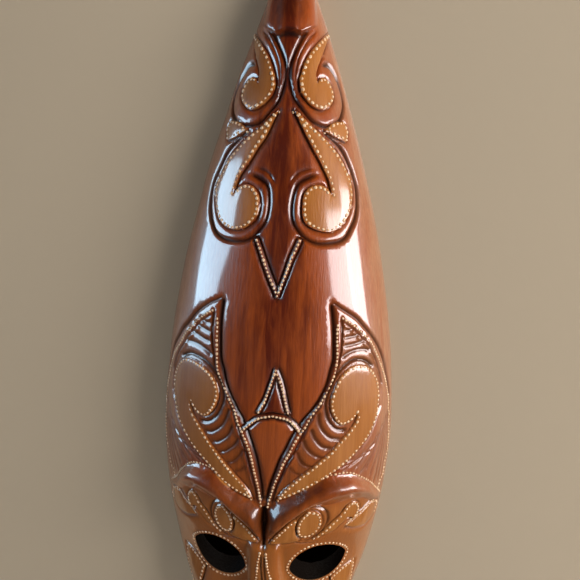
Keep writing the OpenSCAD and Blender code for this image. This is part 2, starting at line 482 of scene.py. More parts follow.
# The swellings are given as height, middle and half sizes.
face = {
    "browHeight": 6.0,
    "browSwell": 0.45,
    "browRound": (0.6, 0.8, 3.5),
    "socketDepth": 2.6,
    "socketMiddle": (33, -246),
    "socketHalf": (36, 27),
    "noseTop": -226.0,
    "noseEnd": -303.0,
    "noseHeight": 17.0,
    "bridgeHeight": 2.5,
    "noseFlat": (8, 3),
    "noseFoot": (11, 6),
    "wing": (7, (14, -293), (8, 8)),
    "cheek": (3, (40, -290), (20, 26)),
    "chin": (5, (0, -374), (18, 14)),
    "lipHeight": 5.0,
    "lipWidth": 25.0,
    "mouth": -337.0,
    "capFoot": 59.5,
    "capCurve": 0.018,
    "capPoint": 1.6,
    "capHeight": 3.0,
    "capRidge": 0.9,
}


# Height of the cap's lower edge: two scallops that meet on the centre line.
def capFoot(a):
    return face["capFoot"] + face["capCurve"] * a ** 2 - face["capPoint"] * bump(a - 6, 3.5)


def swelling(a, z, height, middle, half):
    return height * bump(np.hypot((a - middle[0]) / half[0], (z - middle[1]) / half[1]), 1)


# Height of the large forms above the block: cap, brows, sockets, nose, cheeks, lips and chin.
def broadForm(a, z):
    top, foot = browEdges(a)
    rise = np.clip((z - foot) / (top - foot), 0, 1)
    soft = ease(24, 46, a)  # the roll leaves the lid in a crease near the nose, and smoothly further out
    start, more, end = face["browRound"]
    swell = face["browHeight"] * (1 + face["browSwell"] * soft)
    lobe = swell * rise ** (start + more * soft) * (1 - rise ** end) / start
    lobe = lobe * ease(0, 7, a) * ease(84, 46, a)
    (middleX, middleZ), (halfX, halfZ) = face["socketMiddle"], face["socketHalf"]
    fromSocket = np.hypot((a - middleX) / halfX, (z - middleZ) / halfZ)
    socket = -face["socketDepth"] * ease(1.2, 0.55, fromSocket)
    down = np.clip((face["noseTop"] - z) / (face["noseTop"] - face["noseEnd"]), 0, 1)
    flat, foot = (top + wider * down for top, wider in (face["noseFlat"], face["noseFoot"]))
    bridge = face["bridgeHeight"]
    noseRise = bridge + (face["noseHeight"] - bridge) * down ** 0.9
    noseRise = noseRise * (1 - 0.1 * np.minimum(a / flat, 1) ** 2)
    nose = noseRise * ease(foot, flat - 1, a) * ease(face["noseTop"] + 5, face["noseTop"] - 3, z)
    nose = nose * ease(face["noseEnd"] - 4, face["noseEnd"] + 4, z)
    wing, cheek, chin = (swelling(a, z, *face[part]) for part in ("wing", "cheek", "chin"))
    curve = np.sqrt(np.clip(1 - (a / face["lipWidth"]) ** 2, 0, 1))
    lips = face["lipHeight"] * curve * (
        bump(z - face["mouth"] - 5 * curve, 4.5) + bump(z - face["mouth"] + 5 * curve, 5)
    )
    cap = ease(0, 1.0, z - capFoot(a)) * face["capHeight"] * ease(17, 9, a)
    cap = cap + face["capRidge"] * ease(4.2, 3.2, a) * ease(58, 62, z)
    cap = cap * ease(108, 80, z)
    return lobe + socket + nose + wing + lips + cheek + chin + cap


eyeHole = {
    "x": 32.5,
    "z": -244.5,
    "halfLength": 15.5,
    "halfHeight": 12.0,
    "corner": 3.0,
    "tilt": 10.0,
    "points": 96,
    "rings": (0.05, 0.2, 0.4, 0.6, 0.8),
}


# The eye's almond in X and Z: two arcs, with its corners rounded and its outer end higher.
def eyeLoop(side, grow=0.0, count=eyeHole["points"]):
    length, height = eyeHole["halfLength"], eyeHole["halfHeight"]
    radius = (length ** 2 + height ** 2) / (2 * height)
    half = math.asin(length / radius)
    bends = np.linspace(-half, half, 60)
    arc = radius * rowsOf(np.sin(bends), np.cos(bends))
    arc[:, 1] -= radius - height
    ring = np.concatenate([arc, -arc])
    angles = np.linspace(0, 2 * math.pi, 400, endpoint=False)
    ways = rowsOf(np.cos(angles), np.sin(angles))
    held = ring[np.argmax(ring @ ways.T, axis=0)] + (eyeHole["corner"] + grow) * ways
    closed = joinEnds(held)
    loop = placesAlong(closed, np.linspace(0, runOf(closed)[-1], count, endpoint=False))
    tilt = math.radians(eyeHole["tilt"])
    x = loop[:, 0] * math.cos(tilt) - loop[:, 1] * math.sin(tilt)
    z = loop[:, 0] * math.sin(tilt) + loop[:, 1] * math.cos(tilt)
    return rowsOf(side * (eyeHole["x"] + x), eyeHole["z"] + z)[:: int(side)]


def onFront(loop):
    return rowsOf(girthOf(loop[:, 0], loop[:, 1]), loop[:, 1])


eyeLoops = {side: eyeLoop(side) for side in (-1, 1)}
frontEyes = {side: onFront(loop) for side, loop in eyeLoops.items()}

carving = {
    "wallWidth": 0.35,
    "moatDepth": 1.5,
    "moatNarrow": 0.8,
    "moatWide": 1.6,
    "scrollCrown": 0.35,
    "leafDepth": 0.8,
    "chiselEnd": 3.0,
    "chiselStart": 0.25,
    "borderCut": 0.85,
    "fieldShare": 0.25,
    "waves": (0.12, 0.1),
    "soften": 5.0,
    "sharpAngle": 62.0,
    "weld": 2e-6,
    "touching": 1e-4,
}

# How honey-coloured the parts outside the scrolls are, and how dark the darkened ones: painted shade, and a
# stain on the centre strip.
tint = {
    "brow": 0.4,
    "lowerFace": 0.2,
    "leafBed": 0.22,
    "archField": 0.06,
    "underCapShadow": 0.9,
    "capMiddleShade": 0.5,
    "centreStrip": 0.12,
    "browTopShade": 0.55,
}


# Height over the block; how honey-coloured the place is; how much stain and painted shade darken it.
def carve(girth, z):
    places = patternPlace(girth, z)
    a, level = places.T
    height = broadForm(a, level)
    top, foot = browEdges(a)
    honey = tint["brow"] * ease(2, -4, level - foot) + tint["lowerFace"] * ease(-176, -196, level)
    bedDistance = distanceTo(places, joinEnds(bedLoop), 3)
    bed = isInside(places, bedLoop)
    deep = np.where(bed, carving["leafDepth"] * ease(0, 1.5, bedDistance), 0)
    honey = honey + tint["leafBed"] * bed + tint["archField"] * isInside(places, fieldLoop)
    land = np.full(len(z), np.nan)
    # Painted shadow under the cap's ledge, and painted shade down the cap's middle.
    dark = tint["underCapShadow"] * bump(level - capFoot(a) + 0.6, 1.1) * ease(13, 8, a)
    dark = np.maximum(dark, tint["capMiddleShade"] * ease(60, 70, z) * ease(10, 3, a))
    strip = ease(5, 3.2, np.abs(girth + 0.5))
    dark = np.maximum(dark, tint["centreStrip"] * strip * ease(30, 10, z) * ease(-75, -45, z))
    rise = (level - foot) / (top - foot)
    # Painted shade on the brow roll's upper part.
    dark = np.maximum(dark, tint["browTopShade"] * bump(rise - 0.85, 0.24) * ease(52, 34, a) * (rise < 1))
    for line, width, depth in cutLines:
        distance, _, along = nearest(places, line, width * 4)
        total = np.linalg.norm(np.diff(line, axis=0), axis=1).sum()
        start, fromEnd = carving["chiselStart"], np.minimum(along, total - along)
        taper = start + (1 - start) * ease(0, carving["chiselEnd"], fromEnd)
        deep = np.maximum(deep, deep * 0.4 + depth * taper * np.exp(-(distance / width) ** 1.8))
        # The cuts darken with their depth: dark stain and painted shade.
        dark = np.maximum(dark, min(1, depth / 1.8) * taper * np.exp(-(distance / width / 1.3) ** 2))
    for line, half, depth in borderLines:
        distance = distanceTo(places, line, half + 3)
        side = np.exp(-(np.abs(distance - half) / carving["borderCut"]) ** 1.6)
        deep = np.where(distance < half, depth * side, np.maximum(deep, depth * side))
        # Beside a rope border's ridge: dark stain and painted shade.
        dark = np.maximum(dark * (distance > half), np.exp(-((distance - half) / 0.8) ** 2))
    for loop in scrollLoops.values():
        distance, way, _ = nearest(places, joinEnds(loop), 7)
        inside = isInside(places, loop)
        wall = ease(0, carving["wallWidth"], distance)
        facing = np.clip(-0.9 * way[:, 0] - 0.45 * way[:, 1], 0, 1)
        width = carving["moatNarrow"] + (carving["moatWide"] - carving["moatNarrow"]) * facing
        moat = carving["moatDepth"] * (0.55 + 0.45 * facing) * wall * np.exp(-(distance / width / 1.3) ** 2)
        deep = np.where(inside, deep, np.maximum(deep, moat))
        # Painted shade in the moat round each scroll, darkest on its wide, deep side.
        shadow = wall * (0.6 + 0.4 * facing) * np.exp(-(distance / width) ** 2)
        dark = np.where(inside, dark, np.maximum(dark, shadow))
        crown = carving["scrollCrown"] * (1 - np.exp(-distance / 1.5)) - 0.1
        land = np.where(inside, crown, land)
        honey = np.where(inside, 1.0, honey)
    carved = np.where(np.isnan(land), -deep, land)
    dark = np.where(np.isnan(land), dark, 0)
    first, second = carving["waves"]
    height = height + carved + first * np.sin(girth / 5 + z / 31) + second * np.sin(z / 9 + girth / 13)
    edge = ease(0, carving["soften"], halfGirth(z) - np.abs(girth))
    return height * edge, honey, np.clip(dark, 0, 1)


def frontPoint(girth, z):
    height, honey, dark = carve(girth, z)
    return blockPoint(girth, z) + blockNormal(girth, z) * height[:, None], honey, dark


def rowsBeside(line, offsets):
    aside = leftOf(line)
    return np.concatenate([line + aside * offset for offset in offsets])


# Keeps one point in each square cell, and none in a cell that holds a taken point.
def firstOfEachCell(points, size, taken=None):
    keys = [tuple(k) for k in np.floor(points / size).astype(int)]
    seen = set() if taken is None else {tuple(k) for k in np.floor(taken / size).astype(int)}
    kept = []
    for i, key in enumerate(keys):
        if key not in seen:
            seen.add(key)
            kept.append(i)
    return points[kept]


def gridPoints(low, high, step):
    rows = np.arange(low[1], high[1], step * 0.87)
    columns = np.arange(low[0], high[0], step)
    x, z = np.meshgrid(columns, rows)
    x = x + (np.arange(len(rows)) % 2)[:, None] * step / 2
    return rowsOf(x.ravel(), z.ravel())


# Where the mesh has rows of points beside each kind of line, and how far apart its points are.
spacing = {
    "cutRows": (0, 0.6, -0.6, 1.3, -1.3, 2.2, -2.2),
    "scrollRows": (0, 0.4, -0.4, 0.9, -0.9, 1.6, -1.6, 3, -3),
    "browRows": (0, 0.5, 1.2, 2.2, -0.8),
    "capRows": (-1, -0.4, 0, 0.5, 1.0, 1.5),
    "eyeRows": (0.5, 1.2, 2.4),
    "hollowRows": (0, 0.15, 0.6, 1.5, 3, 5.5),
    "hollowEndRows": (-6, -3, -1.2, 0, 1.2, 3, 6),
    "backEyeRows": (1.0, 2.5),
    "detail": 0.42,
    "front": 1.9,
    "frontGap": 1.3,
    "back": 2.7,
    "backGap": 1.5,
    "rim": 1.6,
    "rimGap": 0.6,
    "eyeGap": 0.3,
}
topZ, bottomZ = block["tip"] - block["endGap"], block["chin"] + block["endGap"]
rimRows = np.linspace(bottomZ, topZ, int((topZ - bottomZ) / spacing["rim"]))


# Drops the points that lie near the ends of the mask or in or near an eye hole.
def clearOfEdges(points, loops):
    gap = spacing["rimGap"]
    points = points[(points[:, 1] > bottomZ + gap) & (points[:, 1] < topZ - gap)]
    for loop in loops:
        far = distanceTo(points, joinEnds(loop), 2) > spacing["eyeGap"]
        points = points[~isInside(points, loop) & far]
    return points


def frontMesh():
    half = []
    for line, width, _ in cutLines:
        half.append(rowsBeside(line, [width * share for share in spacing["cutRows"]]))
    for line, across, _ in borderLines:
        offsets = [0, across * 0.6, across, across + 0.6, across + 1.4]
        half.append(rowsBeside(line, offsets + [-o for o in offsets[1:]]))
    for loop in scrollLoops.values():
        half.append(rowsBeside(loop, spacing["scrollRows"]))
    half.append(rowsBeside(smoothLine(browFoot, 1.2), spacing["browRows"]))
    ledge = np.arange(0, 26, 0.8)
    half += [rowsOf(ledge, capFoot(ledge) + lift) for lift in spacing["capRows"]]
    pattern = np.concatenate(half)
    pattern = pattern[pattern[:, 0] > -0.2]
    detail = np.concatenate([carvedPlace(pattern, side) for side in (1, -1)])
    nearEyes = [onFront(eyeLoop(side, grow)) for side in (-1, 1) for grow in spacing["eyeRows"]]
    detail = firstOfEachCell(np.concatenate(nearEyes + [detail]), spacing["detail"])
    plain = firstOfEachCell(gridPoints((-104, bottomZ), (104, topZ), spacing["front"]), 0.5)
    plain = firstOfEachCell(plain, spacing["frontGap"], detail)
    points = clearOfEdges(np.concatenate([detail, plain]), frontEyes.values())
    points = points[np.abs(points[:, 0]) < halfGirth(points[:, 1]) - spacing["rimGap"]]
    rim = halfGirth(rimRows)
    across = np.linspace(-1, 1, 25)[1:-1]
    boundary = np.concatenate([
        rowsOf(rim, rimRows),
        rowsOf(-across * rim[-1], np.full(len(across), topZ)),
        rowsOf(-rim[::-1], rimRows[::-1]),
        rowsOf(across * rim[0], np.full(len(across), bottomZ)),
    ])
    return triangulate(boundary, list(frontEyes.values()), points)


# Delaunay triangles inside the boundary and outside the holes.
def triangulate(boundary, holes, points):
    loops = [boundary] + holes
    edges, start = [], 0
    for loop in loops:
        count = len(loop)
        edges += [(start + i, start + (i + 1) % count) for i in range(count)]
        start += count
    everything = np.concatenate(loops + [points])
    made = delaunay_2d_cdt([Vector(p) for p in everything], edges, [], 1, 1e-5, False)
    places, triangles = made[0], made[2]
    places = np.array([tuple(p) for p in places])
    triangles = np.array(triangles)
    centres = places[triangles].mean(axis=1)
    kept = isInside(centres, boundary)
    for hole in holes:
        kept &= ~isInside(centres, hole)
    return places, triangles[kept]


hollow = {
    "sideWall": 11.0,
    "frontWall": 16.0,
    "top": 52.0,
    "bottom": -378.0,
    "seatDepth": 23.5,
    "seatHalfWidth": 15.0,
    "seatTop": 8.0,
    "seatBottom": -36.0,
    "gougeWidth": 8.0,
    "gougeLength": 34.0,
    "gougeDepth": 0.55,
    "gougeShift": 0.37,
    "gougeSway": 0.09,
    "endRound": 8,
}


def hollowEnd(z):
    along = (2 * z - hollow["top"] - hollow["bottom"]) / (hollow["top"] - hollow["bottom"])
    return np.clip(1 - np.abs(along) ** hollow["endRound"], 0, 1)


def hollowHalf(z):
    return np.maximum(outline(z) - hollow["sideWall"], 0) * np.sqrt(hollowEnd(z))


def backDepth(x, z):
    half = np.maximum(hollowHalf(z), 0.01)
    bowl = (crest(z) - hollow["frontWall"]) * np.sqrt(np.clip(1 - (x / half) ** 2, 0, 1)) * hollowEnd(z)
    column = np.floor(x / hollow["gougeWidth"])
    across = x / hollow["gougeWidth"] - column - 0.5
    shift = hollow["gougeShift"] * column
    along = (z / hollow["gougeLength"] + shift + hollow["gougeSway"] * np.sin(3 * column)) % 1 - 0.5
    gouge = 4 * np.maximum(across ** 2, 0.6 * along ** 2)
    bowl = bowl - hollow["gougeDepth"] * gouge * np.clip(bowl / 6, 0, 1)
    seat = (np.abs(x) < hollow["seatHalfWidth"]) & (z < hollow["seatTop"]) & (z > hollow["seatBottom"])
    return np.where(seat, np.maximum(bowl, hollow["seatDepth"]), bowl)


def backMesh():
    rows = np.linspace(hollow["bottom"], hollow["top"], 260)
    points = []
    for inset in spacing["hollowRows"]:
        half = hollowHalf(rows) - inset
        kept = half > 0.5
        points += [rowsOf(side * half[kept], rows[kept]) for side in (-1, 1)]
    ends = np.arange(-20, 20.1, 1.5)
    for z in (hollow["bottom"], hollow["top"]):
        points += [rowsOf(ends, np.full(len(ends), z + step)) for step in spacing["hollowEndRows"]]
    side, low, high = hollow["seatHalfWidth"], hollow["seatBottom"], hollow["seatTop"]
    for gap in (-0.05, 0.05):
        across = np.arange(-side - gap, side + gap + 0.01, 1.5)
        up = np.arange(low - gap, high + gap + 0.01, 1.5)
        points += [rowsOf(across, np.full(len(across), z)) for z in (low - gap, high + gap)]
        points += [rowsOf(np.full(len(up), x), up) for x in (-side - gap, side + gap)]
    points += [eyeLoop(s, grow) for s in (-1, 1) for grow in spacing["backEyeRows"]]
    detail = np.concatenate(points)
    plain = gridPoints((-76, bottomZ), (76, topZ), spacing["back"])
    plain = firstOfEachCell(plain, spacing["backGap"], detail)
    points = np.concatenate([detail, plain])
    points = points[(np.abs(points[:, 0]) < outline(points[:, 1]) - 0.8)]
    points = clearOfEdges(points, eyeLoops.values())
    rim = outline(rimRows)
    boundary = np.concatenate([rowsOf(rim, rimRows), rowsOf(-rim[::-1], rimRows[::-1])])
    return triangulate(boundary, list(eyeLoops.values()), points)


def closestPoints(wanted, points):
    return np.array([((points - place) ** 2).sum(axis=1).argmin() for place in wanted])


def carveMask():
    places, front = frontMesh()
    frontVertices, honey, dark = frontPoint(places[:, 0], places[:, 1])
    atRim = np.abs(places[:, 0]) > halfGirth(places[:, 1]) - carving["touching"]
    frontVertices[atRim, 0] = np.sign(places[atRim, 0]) * outline(places[atRim, 1])
    frontVertices[atRim, 1] = 0
    print("front:", len(frontVertices), "points,", len(front), "triangles")
    flat, back = backMesh()
    backVertices = rowsOf(flat[:, 0], -backDepth(flat[:, 0], flat[:, 1]), flat[:, 1])
    print("back:", len(backVertices), "points,", len(back), "triangles")
    vertices, count = [frontVertices, backVertices], eyeHole["points"]
    faces = front.tolist() + (back[:, ::-1] + len(frontVertices)).tolist()
    shade = [dark, np.zeros(len(backVertices))]
    raw = [False] * len(front) + (backVertices[back, 1].min(axis=1) < -0.01).tolist()
    start = len(frontVertices) + len(backVertices)
    depths = np.array(eyeHole["rings"])
    for side in (-1, 1):
        outer = closestPoints(frontEyes[side], places)
        inner = closestPoints(eyeLoops[side], flat)
        # The eye holes' walls, and the back's points round them, get full painted shade.
        shade[1][inner] = 1
        between = frontVertices[outer] + (backVertices[inner] - frontVertices[outer]) * depths[:, None, None]
        vertices.append(between.reshape(-1, 3))
        shade.append(np.ones(count * len(depths)))
        rings = [outer] + [start + k * count + np.arange(count) for k in range(len(depths))]
        rings.append(inner + len(frontVertices))
        for near, far in zip(rings[:-1], rings[1:]):
            faces += rowsOf(near, np.roll(near, -1), np.roll(far, -1), far).tolist()
            raw += [True] * count
        start += count * len(depths)
    for z, order in ((topZ, 1), (bottomZ, -1)):
        end = np.flatnonzero(np.abs(places[:, 1] - z) < carving["touching"])
        end = end[np.argsort(places[end, 0])]
        faces.append(end[::order].tolist())
        raw.append(False)
    mesh = bpy.data.meshes.new("carved_mask")
    allVertices = np.concatenate(vertices) * millimetre
    mesh.from_pydata(allVertices.tolist(), [], faces)
    mesh.polygons.foreach_set("material_index", np.array(raw, int))
    tone = mesh.color_attributes.new("carving", "FLOAT_COLOR", "POINT")
    spare = len(allVertices) - len(frontVertices)
    aside = np.abs(places[:, 0]) / halfGirth(places[:, 1])
    field = isInside(patternPlace(places[:, 0], places[:, 1]), fieldLoop)
    aside = np.where(field, np.maximum(aside, carving["fieldShare"]), aside)
    tones = rowsOf(
        np.concatenate([honey, np.zeros(spare)]),
        np.concatenate(shade),
        np.zeros(len(allVertices)),
        np.concatenate([aside, np.ones(spare)]),
    )
    tone.data.foreach_set("color", tones.ravel())
    work = bmesh.new()
    work.from_mesh(mesh)
    bmesh.ops.remove_doubles(work, verts=work.verts, dist=carving["weld"])
    bmesh.ops.triangulate(work, faces=[f for f in work.faces if len(f.verts) > 3])
    bmesh.ops.recalc_face_normals(work, faces=work.faces)
    loose = [e for e in work.edges if len(e.link_faces) != 2]
    print("open edges:", len(loose), "volume cm3:", round(work.calc_volume() * 1e6, 1))
    work.to_mesh(mesh)
    work.free()
    mesh.polygons.foreach_set("use_smooth", [True] * len(mesh.polygons))
    mesh.set_sharp_from_angle(angle=math.radians(carving["sharpAngle"]))
    return addObject("carved_mask", mesh)


# Links the value to the input, or sets the input to it when it is a plain value.
def feed(tree, socket, value):
    if isinstance(value, bpy.types.NodeSocket):
        tree.links.new(value, socket)
    else:
        socket.default_value = value


# Feeds inputs by their names, with an underscore for each space.
def feedAll(tree, node, **values):
    for key, value in values.items():
        feed(tree, node.inputs[key.replace("_", " ")], value)


def addNode(tree, kind, **values):
    node = tree.nodes.new(kind)
    for key, value in values.items():
        if hasattr(node, key):
            setattr(node, key, value)
        else:
            feedAll(tree, node, **{key: value})
    return node


def mixColours(tree, factor, first, second):
    mix = addNode(tree, "ShaderNodeMix", data_type="RGBA")
    for socket, value in ((0, factor), (6, first), (7, second)):
        feed(tree, mix.inputs[socket], (*value, 1) if isinstance(value, tuple) else value)
    return mix.outputs[2]


def rangeOf(tree, value, low, high, newLow=0.0, newHigh=1.0):
    node = addNode(tree, "ShaderNodeMapRange", Value=value, From_Min=low, From_Max=high, To_Min=newLow,
                   To_Max=newHigh)
    return node.outputs["Result"]


def combine(tree, operation, first, second):
    node = addNode(tree, "ShaderNodeMath", operation=operation)
    feed(tree, node.inputs[0], first)
    feed(tree, node.inputs[1], second)
    return node.outputs[0]


def newGroup(name, inputs, outputs):
    group = bpy.data.node_groups.new(name, "ShaderNodeTree")
    for label, value in inputs.items():
        socket = group.interface.new_socket(label, in_out="INPUT", socket_type="NodeSocketFloat")
        socket.default_value = value
    for label in outputs:
        group.interface.new_socket(label, in_out="OUTPUT", socket_type="NodeSocketFloat")
    return group, group.nodes.new("NodeGroupInput"), group.nodes.new("NodeGroupOutput")


def placeGroup(tree, group, **values):
    node = tree.nodes.new("ShaderNodeGroup")
    node.node_tree = group
    feedAll(tree, node, **values)
    return node


# Wood grain that runs up the piece: broad streaks, and fine pores between them.
def makeGrain():
    sizes = {"Streaks": 230.0, "Pores": 1300.0, "Stretch": 0.02}
    group, given, out = newGroup("woodGrain", sizes, ["Streak", "Pore"])
    stretch = addNode(group, "ShaderNodeCombineXYZ", X=1.0, Y=1.0, Z=given.outputs["Stretch"])
    pulled = addNode(group, "ShaderNodeVectorMath", operation="MULTIPLY")
    feed(group, pulled.inputs[0], addNode(group, "ShaderNodeTexCoord").outputs["Object"])
    feed(group, pulled.inputs[1], stretch.outputs[0])
    for label, target, detail, warp in (("Streaks", "Streak", 5.0, 0.5), ("Pores", "Pore", 2.0, 0.0)):
        noise = addNode(group, "ShaderNodeTexNoise", Detail=detail, Roughness=0.6, Distortion=warp,
                        Vector=pulled.outputs[0], Scale=given.outputs[label])
        feed(group, out.inputs[target], rangeOf(group, noise.outputs["Fac"], 0.3, 0.7))
    return group


# Slow patches, as wear and thin places in a finish make.
def makePatches():
    group, given, out = newGroup("patches", {"Size": 60.0}, ["Patch", "Speck"])
    coordinates = addNode(group, "ShaderNodeTexCoord")
    for times, target in ((1.0, "Patch"), (18.0, "Speck")):
        scale = combine(group, "MULTIPLY", given.outputs["Size"], times)
        noise = addNode(group, "ShaderNodeTexNoise", Detail=4.0, Roughness=0.55, Scale=scale,
                        Vector=coordinates.outputs["Object"])
        feed(group, out.inputs[target], rangeOf(group, noise.outputs["Fac"], 0.35, 0.65))
    return group


woodGrain, patches = makeGrain(), makePatches()


def newMaterial(name):
    material = bpy.data.materials.new(name)
    material.use_nodes = True
    tree = material.node_tree
    return material, tree, tree.nodes["Principled BSDF"]


def addBump(tree, shader, height, strength, distance):
    bumpNode = addNode(tree, "ShaderNodeBump", Strength=strength, Distance=distance, Height=height)
    feedAll(tree, shader, Normal=bumpNode.outputs["Normal"])


# A material for the carved mesh, whose vertices say how honey-coloured, how dark with stain and painted
# shade, and how far out they are.
def carvedMaterial(name, patchSize, **grainSizes):
    material, tree, shader = newMaterial(name)
    grain = placeGroup(tree, woodGrain, **grainSizes).outputs
    patch = placeGroup(tree, patches, Size=patchSize).outputs
    carved = addNode(tree, "ShaderNodeVertexColor", layer_name="carving").outputs
    honey, dark, _ = addNode(tree, "ShaderNodeSeparateColor", Color=carved["Color"]).outputs
    return material, tree, shader, grain, patch, (honey, dark, carved["Alpha"])


wood = {
    "darkStain": (0.11, 0.012, 0.001),
    "redStain": (0.37, 0.072, 0.008),
    "paleStain": (0.49, 0.235, 0.125),
    "honey": (0.49, 0.193, 0.044),
    "honeyDark": (0.37, 0.126, 0.021),
    # The near-black of stain and painted shade in cuts, moats, under the cap and on the brow.
    "cut": (0.010, 0.002, 0.001),
    "streakDrift": 0.34,
    "darkUpTo": (-0.02, 0.26),
    "paleFrom": (0.35, 0.95),
    "poreShare": 0.3,
    "honeyPores": 0.12,
    "cutShare": 0.94,
    "roughness": (0.29, 0.42),
    "coat": 0.9,
    "coatInCuts": 0.25,
    "coatRoughness": 0.11,
    "gloss": 1.65,
    "underGloss": 0.22,
    "poreDepth": 0.7,
    "bump": (0.2, 0.0004),
}


def makeWood():
    material, tree, shader, grain, patch, (honey, dark, aside) = carvedMaterial("varnished_wood", 28.0)
    streak, pore = grain["Streak"], grain["Pore"]
    drift = combine(tree, "MULTIPLY", combine(tree, "SUBTRACT", streak, 0.5), wood["streakDrift"])
    aside = combine(tree, "ADD", aside, drift)
    stain = mixColours(tree, rangeOf(tree, aside, *wood["darkUpTo"]), wood["darkStain"], wood["redStain"])
    stain = mixColours(tree, rangeOf(tree, aside, *wood["paleFrom"]), stain, wood["paleStain"])
    stain = mixColours(tree, combine(tree, "MULTIPLY", pore, wood["poreShare"]), stain, wood["darkStain"])
    honeyTone = mixColours(tree, streak, wood["honey"], wood["honeyDark"])
    fleck = combine(tree, "MULTIPLY", pore, wood["honeyPores"])
    honeyTone = mixColours(tree, fleck, honeyTone, wood["redStain"])
    colour = mixColours(tree, honey, stain, honeyTone)
    # Mixes towards near black by the vertices' darkness: stain and painted shade.
    colour = mixColours(tree, combine(tree, "MULTIPLY", dark, wood["cutShare"]), colour, wood["cut"])
    feedAll(
        tree,
        shader,
        Base_Color=colour,
        Roughness=rangeOf(tree, patch["Patch"], 0, 1, *wood["roughness"]),
        Coat_Weight=rangeOf(tree, dark, 0, 1, wood["coat"], wood["coatInCuts"]),
        IOR=wood["gloss"],
        Coat_Roughness=wood["coatRoughness"],
        Coat_IOR=wood["gloss"],
        Specular_IOR_Level=wood["underGloss"],
    )
    height = combine(tree, "ADD", streak, combine(tree, "MULTIPLY", pore, wood["poreDepth"]))
    addBump(tree, shader, height, *wood["bump"])
    return material


rawWood = {
    "pale": (0.40, 0.205, 0.092),
    "dark": (0.22, 0.095, 0.038),
    "eyeHoleShade": (0.004, 0.002, 0.001),
    "poreShare": 0.4,
    "patchShare": 0.35,
    "roughness": (0.67, 0.85),
    "gloss": 0.04,
    "bump": (0.5, 0.0004),
}


# Unvarnished wood of the hollow; the eye holes' walls get near-black painted shade.
def makeRawWood():
    material, tree, shader, grain, patch, (_, dark, _) = carvedMaterial(
        "raw_wood", 35.0, Streaks=180.0, Pores=900.0
    )
    tone = mixColours(tree, grain["Streak"], rawWood["pale"], rawWood["dark"])
    for source, share in ((grain["Pore"], rawWood["poreShare"]), (patch["Patch"], rawWood["patchShare"])):
        tone = mixColours(tree, combine(tree, "MULTIPLY", source, share), tone, rawWood["dark"])
    feedAll(
        tree,
        shader,
        Base_Color=mixColours(tree, dark, tone, rawWood["eyeHoleShade"]),
        Roughness=rangeOf(tree, patch["Speck"], 0, 1, *rawWood["roughness"]),
        Specular_IOR_Level=rawWood["gloss"],
    )
    addBump(tree, shader, grain["Pore"], *rawWood["bump"])
    return material


dots = {
    "radius": 0.72,
    "rise": 0.45,
    "length": 1.2,
    "scrollSpacing": 2.85,
    "borderSpacing": 2.1,
    "inset": 1.05,
    "colour": (0.78, 0.48, 0.26),
    "colourPale": (0.90, 0.68, 0.46),
    "roughness": (0.35, 0.55),
    "coat": 0.6,
    "coatRoughness": 0.12,
    "bump": (0.3, 0.0001),
    "variation": 0.25,
    "seed": 11,
    "apart": 0.9,
}


def makePaint():
    material, tree, shader = newMaterial("lime_paint")
    patch = placeGroup(tree, patches, Size=220.0).outputs
    feedAll(
        tree,
        shader,
        Base_Color=mixColours(tree, patch["Patch"], dots["colour"], dots["colourPale"]),
        Roughness=rangeOf(tree, patch["Speck"], 0, 1, *dots["roughness"]),
        Coat_Weight=dots["coat"],
        Coat_Roughness=dots["coatRoughness"],
    )
    addBump(tree, shader, patch["Speck"], *dots["bump"])
    return material


# The dots in the pattern's right half: their places, and the way that each row runs.
def dotPlaces():
    rows = []
    for name, runs in scrolls.items():
        x, z = scrollLoops[name].T
        turning = np.sign((x * np.roll(z, -1) - np.roll(x, -1) * z).sum())
        for i, run in enumerate(runs):
            if (name, i) not in undotted:
                line = smoothLine(run, dots["scrollSpacing"])
                rows.append((line + leftOf(line) * dots["inset"] * turning)[:-1])
    rows += [smoothLine(points, dots["borderSpacing"]) for points, _, _ in borders.values()]
    rows += [smoothLine(points, spacing) for points, spacing in dotRuns]
    return np.concatenate(rows), np.concatenate([np.gradient(row, axis=0) for row in rows])


